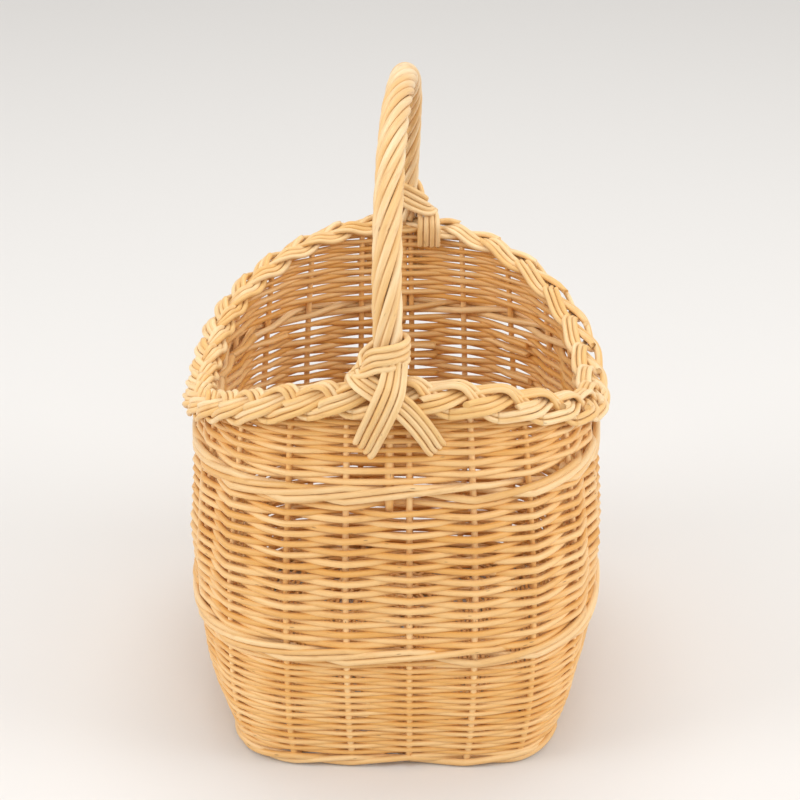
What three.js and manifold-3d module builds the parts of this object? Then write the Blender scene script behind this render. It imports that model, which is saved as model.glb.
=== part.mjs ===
// Oval willow market basket with a roped bow handle.
// Millimetres, +Z up, +Y along the handle, origin on the ground under the middle of the basket.
// Stakes and sticks carry the basket, and each weaver passes in front of them and behind them in
// turn. A row of the lower siding stands for the two thin rods that lie over each other there.
import * as THREE from "three";
import Module from "manifold-3d";
import { mergeVertices } from "three/addons/utils/BufferGeometryUtils.js";

// Plan: half sizes of the oval that the stakes stand on, and the exponent of its superellipse.
const BASE_PLAN = { a: 116, b: 164, n: 5.8 };
const BELLY_PLAN = { a: 149.5, b: 180, n: 3.3 };
const RIM_DRAW_IN = 8.5; // of the long sides, from the belly up to the rim
const RIM_PLAN = { a: BELLY_PLAN.a - RIM_DRAW_IN, b: BELLY_PLAN.b, n: 2.3 };
const FLARE = 2.6; // how fast the wall spreads from the base to the belly
const ROUNDING = 2.4; // how fast the corners of the base become round

// Heights from the ground up.
const BASE_THICKNESS = 8;
const LOWER_WALE_BOTTOM = 93;
const MIDDLE_SIDING_BOTTOM = 110.6;
const UPPER_WALE_BOTTOM = 220.4;
const PACKING_BOTTOM = 238;
const BELLY_HEIGHT = 144;
const BORDER_AT_SIDES = 240; // middle of the plait
const BORDER_AT_ENDS = 302;
const SIDE_SAG = 12; // how much lower the upper wale lies at the sides than at the ends
const HANDLE_APEX = 466; // middle of the handle at its top

// Stakes and weavers.
const STAKE_COUNT = 25; // odd, so that one long weaver changes sides on each round
const STAKE_RADIUS = 2.6;
const STAKE_TOE = 20; // how far a stake's foot reaches into the base
const TOE_HEIGHT = 3.7;
const FOOT = { rounds: 2, tall: 4.3, thickness: 4.6 };
const LOWER_SIDING = { rounds: 12, tall: 5.35, thickness: 3.2, climbs: true };
const LOWER_WALE = { rounds: 3, tall: 5.3, thickness: 4.6 };
const MIDDLE_SIDING = { rounds: 25, tall: 3.8, thickness: 3.8, climbs: true };
const UPPER_WALE = { rounds: 3, tall: 5.3, thickness: 4.6 };
const PACKING = { tall: 4.6, thickness: 3.8 };
const CLEARANCE = 0.4; // between rods that touch

// Base.
const STICK_RADIUS = 2.7;
const LONG_STICKS = 3;
const LONG_STICK_SPACING = 9;
const SHORT_STICKS = 5;
const SHORT_STICK_SPACING = 44;

// Plaited border: one strand that goes round three times and meets its own beginning.
const PLAIT_OUTER_TURNS = 34; // times that a strand comes to the outer edge, over the whole rim
const PLAIT_STEPS = 6; // of one wave
const PLAIT_SHIFT = 2 / 3; // of a wave, which one long side has less than its share
const PLAIT_REACH = 8.4; // of a strand's middle, to either side of the plait's line
const PLAIT_LIFT = 6.2;
const PLAIT_STRAND = { width: 7.8, thickness: 4.3 };
const PLAIT_OUTWARD = 4; // the plait lies outside the line of the stakes
const PLAIT_TILT = 0.5; // radians, outer edge down
const EYE_LENGTH = 60; // the plait opens over this length to either side of a handle leg
const EYE_REACH = 14.6;

// Handle.
const BOW_RADIUS = 3.4;
const BOW_TIP_RADIUS = 2.4;
const BOW_LEG_BOTTOM = 214;
const BOW_SQUARENESS = 2.15;
const ROPE_RODS = 8;
const ROPE_REACH = 7.6; // from the middle of the bow to the middle of a rod
const ROPE_ROD_RADIUS = 2.35;
const ROPE_LAY = 148; // length of handle for one turn of a rod
const ROPE_STEPS = 8; // of one turn
const ROPE_ABOVE_BORDER = 11;
const ROPE_BOTTOM = BORDER_AT_ENDS + ROPE_ABOVE_BORDER;

// Lashings at the feet of the handle.
const LASHING_RADIUS = 2.2;
const WRAP_TURNS = 4;
const WRAP_STEPS = 8;
const WRAP_ABOVE_BORDER = 21;
const WRAP_BOTTOM = BORDER_AT_ENDS + WRAP_ABOVE_BORDER;
const LASHING_WIDTH = 16; // four rods side by side

const wasm = await Module();
wasm.setup();

const UP = new THREE.Vector3(0, 0, 1);
const ACROSS = new THREE.Vector3(1, 0, 0);
const numbers = (count) => Array.from({ length: count }, (_, i) => i);

// The wall as a surface of two numbers: how far round it is, from 0 to 1, and how high.
// It starts at the near end, goes round by +X, and runs straight between its knots.
const BELLY_PARTS = [0.13, 0.3, 0.54, 0.78, 1, 1.25, 1.54];
const WALL_ABOVE_BORDER = 14;
const WALL_TOP = BORDER_AT_ENDS + WALL_ABOVE_BORDER;
const WALL_KNOTS = [
  0,
  BASE_THICKNESS,
  ...BELLY_PARTS.map((part) => part * BELLY_HEIGHT),
  BORDER_AT_SIDES + 2,
  WALL_TOP,
];
const PLAN_SAMPLES = 720;

function planAt(height) {
  const below = 1 - Math.min(height / BELLY_HEIGHT, 1);
  const over = Math.max(height - BELLY_HEIGHT, 0) / (BORDER_AT_ENDS - BELLY_HEIGHT);
  const blend = (key, pace) => {
    const low = THREE.MathUtils.lerp(BELLY_PLAN[key], BASE_PLAN[key], Math.pow(below, pace));
    return low + (RIM_PLAN[key] - BELLY_PLAN[key]) * over;
  };
  return { a: blend("a", FLARE), b: blend("b", FLARE), n: blend("n", ROUNDING) };
}

// A closed oval that is measured by its own length.
class Plan {
  constructor({ a, b, n }) {
    this.points = [];
    this.lengths = [0];
    for (let i = 0; i <= PLAN_SAMPLES; i++) {
      const t = (2 * Math.PI * i) / PLAN_SAMPLES;
      const s = Math.sin(t);
      const c = Math.cos(t);
      const x = a * Math.sign(s) * Math.pow(Math.abs(s), 2 / n);
      const y = -b * Math.sign(c) * Math.pow(Math.abs(c), 2 / n);
      this.points.push(new THREE.Vector2(x, y));
    }
    for (let i = 1; i <= PLAN_SAMPLES; i++) {
      const step = this.points[i].distanceTo(this.points[i - 1]);
      this.lengths.push(this.lengths[i - 1] + step);
    }
    this.perimeter = this.lengths[PLAN_SAMPLES];
  }

  at(u) {
    const target = (u - Math.floor(u)) * this.perimeter;
    let low = 0;
    let high = PLAN_SAMPLES;
    while (high - low > 1) {
      const middle = (low + high) >> 1;
      if (this.lengths[middle] <= target) low = middle;
      else high = middle;
    }
    const part = (target - this.lengths[low]) / (this.lengths[high] - this.lengths[low]);
    return this.points[low].clone().lerp(this.points[high], part);
  }
}

const knotPlans = WALL_KNOTS.map((height) => new Plan(planAt(height)));

function wallPoint(u, height) {
  let k = 0;
  while (k < WALL_KNOTS.length - 2 && height > WALL_KNOTS[k + 1]) k++;
  const part = (height - WALL_KNOTS[k]) / (WALL_KNOTS[k + 1] - WALL_KNOTS[k]);
  const flat = knotPlans[k].at(u).lerp(knotPlans[k + 1].at(u), part);
  return new THREE.Vector3(flat.x, flat.y, height);
}

// Directions on the wall: along its length, level and out of it, up its slope with a rise of 1,
// and at right angles to its face.
function wallFrame(u, height) {
  const along = wallPoint(u + 0.004, height).sub(wallPoint(u - 0.004, height)).normalize();
  const level = new THREE.Vector3().crossVectors(along, UP).normalize();
  const slope = wallPoint(u, height + 2).sub(wallPoint(u, height - 2)).normalize();
  const face = new THREE.Vector3().crossVectors(along, slope).normalize();
  slope.divideScalar(slope.z);
  return { point: wallPoint(u, height), along, level, slope, face };
}

function borderHeight(u) {
  const c = Math.cos(2 * Math.PI * u);
  return THREE.MathUtils.lerp(BORDER_AT_SIDES, BORDER_AT_ENDS, c * c);
}

// The weave above the lower wale is beaten down at the sides, more so the higher it lies.
function rowHeight(u, height) {
  const part = (height - MIDDLE_SIDING_BOTTOM) / (UPPER_WALE_BOTTOM - MIDDLE_SIDING_BOTTOM);
  const s = Math.sin(2 * Math.PI * u);
  return height - SIDE_SAG * THREE.MathUtils.clamp(part, 0, 1) * s * s;
}

function signedVolume(points, index) {
  let sum = 0;
  for (let i = 0; i < index.length; i += 3) {
    const [p, q, r] = [points[index[i]], points[index[i + 1]], points[index[i + 2]]];
    sum += p.dot(new THREE.Vector3().crossVectors(q, r)) / 6;
  }
  return sum;
}

// A solid through rings of points, closed on itself or capped at both ends, and facing out.
function loft(rings, closed = false) {
  const sides = rings[0].length;
  const index = [];
  const spans = closed ? rings.length : rings.length - 1;
  for (let i = 0; i < spans; i++) {
    const from = i * sides;
    const to = ((i + 1) % rings.length) * sides;
    for (let j = 0; j < sides; j++) {
      const k = (j + 1) % sides;
      index.push(from + j, from + k, to + k, from + j, to + k, to + j);
    }
  }
  if (!closed) {
    const last = (rings.length - 1) * sides;
    for (let j = 1; j < sides - 1; j++) {
      index.push(0, j + 1, j, last, last + j, last + j + 1);
    }
  }
  const points = rings.flat();
  if (signedVolume(points, index) < 0) index.reverse();
  const geometry = new THREE.BufferGeometry().setFromPoints(points);
  geometry.setIndex(index);
  return geometry;
}

// An oval section round a point, in the plane of two directions.
function section(centre, first, second, halfFirst, halfSecond, sides = 4) {
  const points = [];
  for (let j = 0; j < sides; j++) {
    const angle = (2 * Math.PI * j) / sides;
    const point = centre.clone().addScaledVector(first, halfFirst * Math.cos(angle));
    points.push(point.addScaledVector(second, halfSecond * Math.sin(angle)));
  }
  return points;
}

// A section with a ridge along the first direction and a flat back.
function ridge(centre, first, second, halfFirst, halfSecond) {
  const back = centre.clone().addScaledVector(first, -halfFirst);
  return [
    centre.clone().addScaledVector(first, halfFirst),
    back.clone().addScaledVector(second, halfSecond),
    back.addScaledVector(second, -halfSecond),
  ];
}

function directionAt(path, i, closed = false) {
  const last = path.length - 1;
  const before = closed ? path.at(i - 1) : path[Math.max(i - 1, 0)];
  const after = closed ? path[(i + 1) % path.length] : path[Math.min(i + 1, last)];
  return after.clone().sub(before).normalize();
}

// A rod along a path. broadAt gives a direction that its broad side is turned to.
function rod(path, broadAt, halfBroad, halfThick, { sides = 4, closed = false } = {}) {
  const rings = path.map((point, i) => {
    const along = directionAt(path, i, closed);
    const thick = new THREE.Vector3().crossVectors(along, broadAt(i)).normalize();
    const broad = new THREE.Vector3().crossVectors(thick, along).normalize();
    const [b, t] = [halfBroad, halfThick].map((half) => (typeof half === "function" ? half(i) : half));
    return section(point, broad, thick, b, t, sides);
  });
  return loft(rings, closed);
}

// Posts are what a weaver passes: the stakes, and beside two of them the legs of the handle.
const LEG_SHIFT = 0.25; // of a stake spacing, between a leg and the stake beside it
const LEG_ROOM = 8; // below a leg's tip, where the weavers already go round it
const FAR_STAKE = Math.floor(STAKE_COUNT / 2);

const stakeAt = (j) => (j + LEG_SHIFT) / STAKE_COUNT;

function postsAt(height) {
  const posts = [];
  for (let j = 0; j < STAKE_COUNT; j++) {
    posts.push({ u: stakeAt(j), shed: j, radius: STAKE_RADIUS });
  }
  if (height > BOW_LEG_BOTTOM - LEG_ROOM) {
    posts.splice(FAR_STAKE + 1, 0, { u: 0.5, shed: FAR_STAKE, radius: BOW_RADIUS });
    posts.unshift({ u: 0, shed: 0, radius: BOW_RADIUS });
  }
  return posts;
}

// way is 1 where the weaver runs on round the basket, and -1 where it runs back.
function weaverRing(post, height, side, { tall, thickness }, way = 1) {
  const low = rowHeight(post.u, height - tall / 2);
  const high = rowHeight(post.u, height + tall / 2);
  const { point, face, level, slope } = wallFrame(post.u, (low + high) / 2);
  const reach = (post.radius + CLEARANCE + thickness / 2) / level.dot(face);
  point.addScaledVector(level, side * reach);
  return ridge(point, level, slope, (way * thickness) / 2, (high - low) / 2);
}

// One long weaver. It climbs by its own height in each round, in a siding all the way round and
// in a wale in the round's last space.
// sideOf says for the number of a stroke whether it passes in front of its post or behind it.
function band(bottom, weaver, sideOf) {
  const rings = [];
  for (let round = 0; round < weaver.rounds; round++) {
    const pitch = weaver.tall + CLEARANCE;
    const start = bottom + weaver.tall / 2 + round * pitch;
    for (const post of postsAt(start)) {
      const height = weaver.climbs ? start + post.u * pitch : start;
      rings.push(weaverRing(post, height, sideOf(post.shed + round * STAKE_COUNT, round), weaver));
    }
  }
  return loft(rings);
}

const randing = (stroke) => (stroke % 2 === 0 ? 1 : -1);
const waling = (stroke, round) => ((stroke + round) % 3 === 0 ? -1 : 1);

// Packing: a short weaver that turns back round a stake before it meets the border, each row
// shorter than the last, and so lifts the rim at one end.
function packing(centre) {
  const rings = [];
  const pitch = PACKING.tall + CLEARANCE;
  const ceiling = (u) => borderHeight(u) - PLAIT_LIFT - PLAIT_STRAND.thickness / 2 - 2.5;
  let limit = 0.24;
  for (let row = 0, way = 1; limit > 0.02; row++, way = -way) {
    const height = PACKING_BOTTOM + PACKING.tall / 2 + row * pitch;
    const fits = (post) => rowHeight(post.u, height) + PACKING.tall / 2 + pitch < ceiling(post.u);
    const posts = postsAt(height)
      .map((post) => ({ ...post, from: way * (post.u - centre - Math.round(post.u - centre)) }))
      .filter((post) => post.from > -limit - 1e-6 && post.from < 0.24)
      .filter((post) => post.from < 0 || fits(post))
      .sort((p, q) => p.from - q.from);
    const side = (post) => ((post.shed + row) % 2 === 0 ? 1 : -1);
    for (const post of posts) rings.push(weaverRing(post, height, side(post), PACKING, way));
    const last = posts.at(-1);
    rings.push(turnRing(last, side(last), way, height + pitch / 2));
    limit = last.from;
  }
  return loft(rings.slice(0, -1));
}

function turnRing(post, side, way, height) {
  const { point, along, slope } = wallFrame(post.u, rowHeight(post.u, height));
  const reach = post.radius + CLEARANCE + PACKING.thickness;
  point.addScaledVector(along, way * reach);
  return ridge(point, along, slope, (side * PACKING.thickness) / 2, PACKING.tall / 2);
}

function stakePath(u) {
  const { level } = wallFrame(u, BASE_THICKNESS);
  const foot = wallPoint(u, 0).setZ(TOE_HEIGHT);
  const path = [
    foot.clone().addScaledVector(level, -STAKE_TOE),
    foot.clone().addScaledVector(level, -6),
  ];
  const top = borderHeight(u) - PLAIT_LIFT - PLAIT_STRAND.thickness / 2 - 1;
  for (const height of WALL_KNOTS.slice(1)) {
    if (height < top - 4) path.push(wallPoint(u, height));
  }
  path.push(wallPoint(u, top));
  return path;
}

function stake(u, radius) {
  return rod(stakePath(u), () => wallFrame(u, BASE_THICKNESS).along, radius, radius);
}

// Where a strand has gone through so many waves. It starts at the inner edge of the near handle
// leg, and the shift brings it to that edge at the far leg too.
const borderLength = knotPlans.at(-2).perimeter;
const EYE_SPAN = EYE_LENGTH / borderLength;
const fromLeg = (u) => u - Math.round(2 * u) / 2;
const WAVES = PLAIT_OUTER_TURNS / 3;

function placeAfter(waves) {
  let u = waves / WAVES;
  for (let i = 0; i < 12; i++) {
    u = (waves + (PLAIT_SHIFT / 2) * (1 - Math.cos(2 * Math.PI * u))) / WAVES;
  }
  return u;
}

function plaitPoint(waves) {
  const u = placeAfter(waves);
  const phase = 2 * Math.PI * waves - Math.PI / 2;
  const { point, along, level } = wallFrame(u, borderHeight(u));
  const eye = Math.max(0, Math.cos((Math.PI * fromLeg(u)) / (2 * EYE_SPAN)));
  const open = Math.abs(fromLeg(u)) < EYE_SPAN ? eye * eye : 0;
  const reach = THREE.MathUtils.lerp(PLAIT_REACH, EYE_REACH, open);
  const across = level.clone().applyAxisAngle(along, PLAIT_TILT);
  const face = UP.clone().applyAxisAngle(along, PLAIT_TILT);
  point.addScaledVector(level, PLAIT_OUTWARD).addScaledVector(across, reach * Math.sin(phase));
  return { point: point.addScaledVector(face, -PLAIT_LIFT * Math.sin(2 * phase)), across };
}

function plait() {
  const count = PLAIT_OUTER_TURNS * PLAIT_STEPS;
  const spots = numbers(count).map((i) => plaitPoint(i / PLAIT_STEPS));
  const path = spots.map((spot) => spot.point);
  const { width, thickness } = PLAIT_STRAND;
  return rod(path, (i) => spots[i].across, width / 2, thickness / 2, { closed: true });
}

// Handle: its bow runs down beside a stake at both ends.
function bowPoint(t) {
  const spring = wallPoint(0, BORDER_AT_ENDS);
  const c = Math.cos(t);
  const y = spring.y * Math.sign(c) * Math.pow(Math.abs(c), 2 / BOW_SQUARENESS);
  const rise = (HANDLE_APEX - BORDER_AT_ENDS) * Math.pow(Math.sin(t), 2 / BOW_SQUARENESS);
  return new THREE.Vector3(0, y, BORDER_AT_ENDS + rise);
}

const BOW_SAMPLES = 400;
const bowSamples = [];
for (let i = 0; i <= BOW_SAMPLES; i++) bowSamples.push(bowPoint((Math.PI * i) / BOW_SAMPLES));
const bowCurve = new THREE.CatmullRomCurve3(bowSamples);
bowCurve.arcLengthDivisions = 2000;

const BOW_ARCH_STEPS = 22;

function bow() {
  const leg = WALL_KNOTS.filter((z) => z > BOW_LEG_BOTTOM && z < BORDER_AT_ENDS);
  const near = [BOW_LEG_BOTTOM, ...leg].map((z) => wallPoint(0, z));
  const far = [BOW_LEG_BOTTOM, ...leg].map((z) => wallPoint(0.5, z)).reverse();
  const path = [...near, ...bowCurve.getSpacedPoints(BOW_ARCH_STEPS), ...far];
  const isTip = (i) => i === 0 || i === path.length - 1;
  const radius = (i) => (isTip(i) ? BOW_TIP_RADIUS : BOW_RADIUS);
  return rod(path, () => ACROSS, radius, radius, { sides: 6 });
}

const ropeStart = bowSamples.findIndex((p) => p.z > ROPE_BOTTOM) / BOW_SAMPLES;

function ropeRod(k) {
  const length = bowCurve.getLength();
  const from = (bowCurve.getLengths(BOW_SAMPLES)[Math.round(ropeStart * BOW_SAMPLES)] / length);
  const run = length * (1 - 2 * from);
  const steps = Math.round((run / ROPE_LAY) * ROPE_STEPS);
  const path = [];
  for (let i = 0; i <= steps; i++) {
    const at = from + (1 - 2 * from) * (i / steps);
    const tangent = bowCurve.getTangentAt(at);
    const outward = new THREE.Vector3().crossVectors(ACROSS, tangent);
    const angle = 2 * Math.PI * (k / ROPE_RODS - ((i / steps) * run) / ROPE_LAY);
    const point = bowCurve.getPointAt(at);
    point.addScaledVector(ACROSS, ROPE_REACH * Math.cos(angle));
    path.push(point.addScaledVector(outward, ROPE_REACH * Math.sin(angle)));
  }
  const centre = (i) => bowCurve.getPointAt(from + (1 - 2 * from) * (i / steps));
  return rod(path, (i) => path[i].clone().sub(centre(i)), ROPE_ROD_RADIUS, ROPE_ROD_RADIUS);
}

// Lashings, made for the near end. end is 1 there, and -1 turns the piece to the far end.
const footY = wallPoint(0, BORDER_AT_ENDS).y;

function lashing(end, spots, broad = null) {
  const corners = spots.map(([across, out, above]) => {
    return new THREE.Vector3(end * across, end * (footY - out), BORDER_AT_ENDS + above);
  });
  const path = new THREE.CatmullRomCurve3(corners).getSpacedPoints(8);
  const along = (i) => directionAt(path, i);
  const outward = new THREE.Vector3(0, -end, 0.35).normalize();
  const broadAt = (i) => broad ?? new THREE.Vector3().crossVectors(along(i), outward);
  return rod(path, broadAt, LASHING_WIDTH / 2, LASHING_RADIUS, { sides: 6 });
}

function wrap(end) {
  const path = [];
  const reach = ROPE_REACH + ROPE_ROD_RADIUS + CLEARANCE + LASHING_RADIUS + 0.5;
  for (let i = 0; i <= WRAP_TURNS * WRAP_STEPS; i++) {
    const angle = (2 * Math.PI * i) / WRAP_STEPS;
    const z = WRAP_BOTTOM + (i / WRAP_STEPS) * (2 * LASHING_RADIUS + CLEARANCE);
    const at = bowSamples.find((p) => p.z > z);
    const y = end * (at.y + reach * Math.sin(angle));
    path.push(new THREE.Vector3(end * reach * Math.cos(angle), y, z));
  }
  return rod(path, () => UP, LASHING_RADIUS, LASHING_RADIUS);
}

// Base. Its woven panel is one closed solid with a groove for each stick and a hole for each
// stake's toe, and a short stick is slotted for the long ones that go through it.
function solid(geometry) {
  const merged = mergeVertices(geometry.clone(), 1e-4);
  const vertProperties = new Float32Array(merged.attributes.position.array);
  const triVerts = new Uint32Array(merged.index.array);
  return new wasm.Manifold(new wasm.Mesh({ numProp: 3, vertProperties, triVerts }));
}

function geometryOf(manifold) {
  const { vertProperties, triVerts, numProp } = manifold.getMesh();
  const positions = [];
  for (let i = 0; i < vertProperties.length; i += numProp) {
    positions.push(vertProperties[i], vertProperties[i + 1], vertProperties[i + 2]);
  }
  const geometry = new THREE.BufferGeometry();
  geometry.setAttribute("position", new THREE.Float32BufferAttribute(positions, 3));
  geometry.setIndex([...triVerts]);
  return geometry;
}

const STICK_HEIGHT = BASE_THICKNESS + 1.2;
const PANEL_EDGE = 5.5;
const PANEL_SIDES = 48;

function longStick(i, radius) {
  const x = (i - (LONG_STICKS - 1) / 2) * LONG_STICK_SPACING;
  const reach = BASE_PLAN.b - STAKE_TOE - 6;
  const path = [-1, 1].map((side) => new THREE.Vector3(x, side * reach, STICK_HEIGHT));
  return rod(path, () => ACROSS, radius, radius, { sides: 6 });
}

function shortStick(i, radius) {
  const y = (i - (SHORT_STICKS - 1) / 2) * SHORT_STICK_SPACING;
  const reach = BASE_PLAN.a - STAKE_TOE - 6;
  const path = [-1, 1].map((side) => new THREE.Vector3(side * reach, y, STICK_HEIGHT));
  return rod(path, () => UP, 1.35 * radius, 1.35 * radius, { sides: 6 });
}

function panel() {
  const edge = (height, grow) => {
    const ringPoints = [];
    for (let i = 0; i < PANEL_SIDES; i++) {
      const { point, level } = wallFrame(i / PANEL_SIDES, 3);
      ringPoints.push(point.addScaledVector(level, PANEL_EDGE + grow).setZ(height));
    }
    return ringPoints;
  };
  return loft([edge(0, -1.5), edge(1.5, 0), edge(BASE_THICKNESS - 1.5, 0), edge(BASE_THICKNESS, -1.5)]);
}

const grown = 0.35;

function baseWeave() {
  const tools = [
    ...numbers(STAKE_COUNT).map((j) => stake(stakeAt(j), STAKE_RADIUS + grown)),
    ...numbers(LONG_STICKS).map((i) => longStick(i, STICK_RADIUS + grown)),
    ...numbers(SHORT_STICKS).map((i) => shortStick(i, STICK_RADIUS + grown)),
  ];
  return geometryOf(solid(panel()).subtract(wasm.Manifold.union(tools.map(solid))));
}

function slottedShortStick(i) {
  const long = numbers(LONG_STICKS).map((k) => solid(longStick(k, STICK_RADIUS + grown)));
  return geometryOf(solid(shortStick(i, STICK_RADIUS)).subtract(wasm.Manifold.union(long)));
}

// Materials: peeled willow, paler on the border and handle and more golden low in the wall.
const willow = (color) => new THREE.MeshStandardMaterial({ color, roughness: 0.55, metalness: 0 });
const stakeWillow = willow(0xc79a5e);
const wallWillow = willow(0xd9b37a);
const waleWillow = willow(0xe0bd86);
const borderWillow = willow(0xe6c795);
const handleWillow = willow(0xe2c08c);
const baseWillow = willow(0xc99e64);

const basket = new THREE.Group();
basket.name = "willow_market_basket";

function add(name, geometry, material) {
  const mesh = new THREE.Mesh(geometry, material);
  mesh.name = name;
  basket.add(mesh);
}

add("base_weave", baseWeave(), baseWillow);
for (const i of numbers(LONG_STICKS)) {
  add(`base_long_stick_${i + 1}`, longStick(i, STICK_RADIUS), stakeWillow);
}
for (const i of numbers(SHORT_STICKS)) {
  add(`base_short_stick_${i + 1}`, slottedShortStick(i), stakeWillow);
}
for (const j of numbers(STAKE_COUNT)) {
  add(`stake_${String(j + 1).padStart(2, "0")}`, stake(stakeAt(j), STAKE_RADIUS), stakeWillow);
}
const FOOT_BOTTOM = BASE_THICKNESS + 2 * CLEARANCE;
const LOWER_SIDING_BOTTOM = FOOT_BOTTOM + FOOT.rounds * (FOOT.tall + CLEARANCE);
add("foot_wale", band(FOOT_BOTTOM, FOOT, waling), waleWillow);
add("lower_siding", band(LOWER_SIDING_BOTTOM, LOWER_SIDING, randing), wallWillow);
add("lower_wale", band(LOWER_WALE_BOTTOM, LOWER_WALE, waling), waleWillow);
add("middle_siding", band(MIDDLE_SIDING_BOTTOM, MIDDLE_SIDING, randing), wallWillow);
add("upper_wale", band(UPPER_WALE_BOTTOM, UPPER_WALE, waling), waleWillow);
add("packing_near", packing(0), wallWillow);
add("packing_far", packing(0.5), wallWillow);
add("plaited_border", plait(), borderWillow);
add("handle_bow", bow(), stakeWillow);
for (const k of numbers(ROPE_RODS)) add(`handle_rope_rod_${k + 1}`, ropeRod(k), handleWillow);

// A lashing's path: across, out of the wall, and above the plait's middle, at the near end.
const OVER_RIGHT = [
  [-12, 10.4, -30],
  [-11.5, 14, -20],
  [-8, 23, -9],
  [-3, 26.6, 2],
  [2, 24, 11],
  [6, 18.8, 17],
];
const OVER_LEFT = [
  [33, 8.8, -30],
  [29, 13, -21],
  [20, 22.4, -9],
  [11, 22.2, 2],
  [3, 16.6, 10.5],
  [-4, 13.4, 15.8],
];
const INSIDE = [
  [-21, -8, -20.8],
  [-21, -9.5, -12.8],
  [-21, -13.8, -4.8],
  [-21, -13.8, 3.2],
  [-21, -8, 10.8],
  [-20, 0, 13],
];
for (const [where, end] of [["near", 1], ["far", -1]]) {
  add(`handle_wrap_${where}`, wrap(end), borderWillow);
  add(`lashing_${where}_over`, lashing(end, OVER_RIGHT), borderWillow);
  add(`lashing_${where}_under`, lashing(end, OVER_LEFT), borderWillow);
  add(`lashing_${where}_inside`, lashing(end, INSIDE, ACROSS), borderWillow);
}

export default basket;
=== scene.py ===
# Willow market basket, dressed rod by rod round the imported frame.
# Sizes are in millimetres, as in the part, and become metres when a mesh is made.
import math

import bpy
import numpy as np
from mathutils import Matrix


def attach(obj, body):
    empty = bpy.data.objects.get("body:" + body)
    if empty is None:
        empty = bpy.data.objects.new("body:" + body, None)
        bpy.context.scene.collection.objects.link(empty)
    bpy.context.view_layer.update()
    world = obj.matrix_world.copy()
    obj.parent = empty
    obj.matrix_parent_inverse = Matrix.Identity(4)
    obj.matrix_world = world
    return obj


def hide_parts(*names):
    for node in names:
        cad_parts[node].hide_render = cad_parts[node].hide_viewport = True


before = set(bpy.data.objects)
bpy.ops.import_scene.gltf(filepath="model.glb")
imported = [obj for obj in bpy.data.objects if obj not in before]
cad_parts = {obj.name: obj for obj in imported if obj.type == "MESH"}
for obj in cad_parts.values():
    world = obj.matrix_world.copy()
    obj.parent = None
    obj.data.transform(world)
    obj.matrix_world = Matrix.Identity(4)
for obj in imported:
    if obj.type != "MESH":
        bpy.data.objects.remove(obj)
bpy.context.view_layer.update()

# Plan of the oval that the stakes stand on: half width, half length and squareness.
BASE_PLAN = (116.0, 164.0, 5.8)
BELLY_PLAN = (149.5, 180.0, 3.3)
RIM_PLAN = (141.0, 180.0, 2.3)
FLARE = 2.6  # how much more the wall widens near the base than near the belly
ROUNDING = 2.4  # the same for the change of its squareness

# Heights.
BELLY_HEIGHT = 144.0
BORDER_AT_SIDES = 240.0
BORDER_AT_ENDS = 302.0
HANDLE_APEX = 466.0

# At the sides the weave lies lower, from nothing at one height to all of the sag at another.
SIDE_SAG = 12.0
SAG_FROM = 110.6
SAG_FULL = 220.4

# Stakes. The legs of the handle stand a quarter of a space beside two of them.
STAKES = 25
FAR_STAKE = STAKES // 2
LEG_SHIFT = 0.25
STAKE_RADIUS = 2.5
STAKE_TOE = 20.0
STAKE_TOP = 3.0  # below the middle of the border
TOE_HEIGHT = 3.7
BOW_RADIUS = 3.4
BOW_LEG_BOTTOM = 214.0
LEG_ACROSS = -3.4  # how far round from the middle of an end a leg stands

# Rough lengths along which the unevenness of rods is counted. The foot stands level.
RIM_LENGTH = 1030.0
PLAIT_LENGTH = 1015.0
WAVE_LENGTH = 90.0
LEVEL_BELOW = 25.0

# Sidings. Where a rod and a stake press on each other both give way, and crimp is what is left
# of the rod's depth: in the first rounds, which are beaten down firmly, and in the last.
LOWER_SIDING = {"bottom": 9.6, "rounds": 29, "pitch": 3.05, "radius": 1.92, "crimp": (0.45, 0.45)}
MIDDLE_SIDING = {"bottom": 105.4, "rounds": 28, "pitch": 4.2, "radius": 2.42, "crimp": (0.55, 0.95)}
FIRM_ROUNDS = 5

# Wales: middle height in front of the stakes, height behind one, and the rods.
FOOT_WALE = {"middle": 6.0, "behind": 3.4, "radius": 2.55, "count": 3, "crimp": 0.6}
LOWER_WALE = {"middle": 101.5, "behind": 101.5, "radius": 2.5, "count": 4, "crimp": 1.0}
UPPER_WALE = {"middle": 229.0, "behind": 229.0, "radius": 2.6, "count": 4, "crimp": 1.0}
WALE_CLOSENESS = 0.98  # from rod to rod, by their thickness

# Packing: radius of the rods, pitch, lowest and highest row.
PACKING_ROWS = ((2.45, 4.2, 238.5, 262.0), (2.0, 3.3, 262.0, BORDER_AT_ENDS - 4))
PACKING_REACH = 0.26  # of the way round that its rows may take to each side
PACKING_ROOM = 0.004  # of it that a row needs between its end and the last post
PACKING_CRIMP = 0.6
PACKING_TUCK = 1.5  # how far below the middle of the plait a row ends

# Single rods: how many spaces they go on for, and how they meet behind a post.
SIDING_SPACES = (13, 21)
WALE_SPACES = (12, 17)
LAST_SPACES = 6
ROD_OVERLAP = 0.42  # of a space
ROD_TAPER = 0.18
ROD_CUT = 0.5

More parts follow.
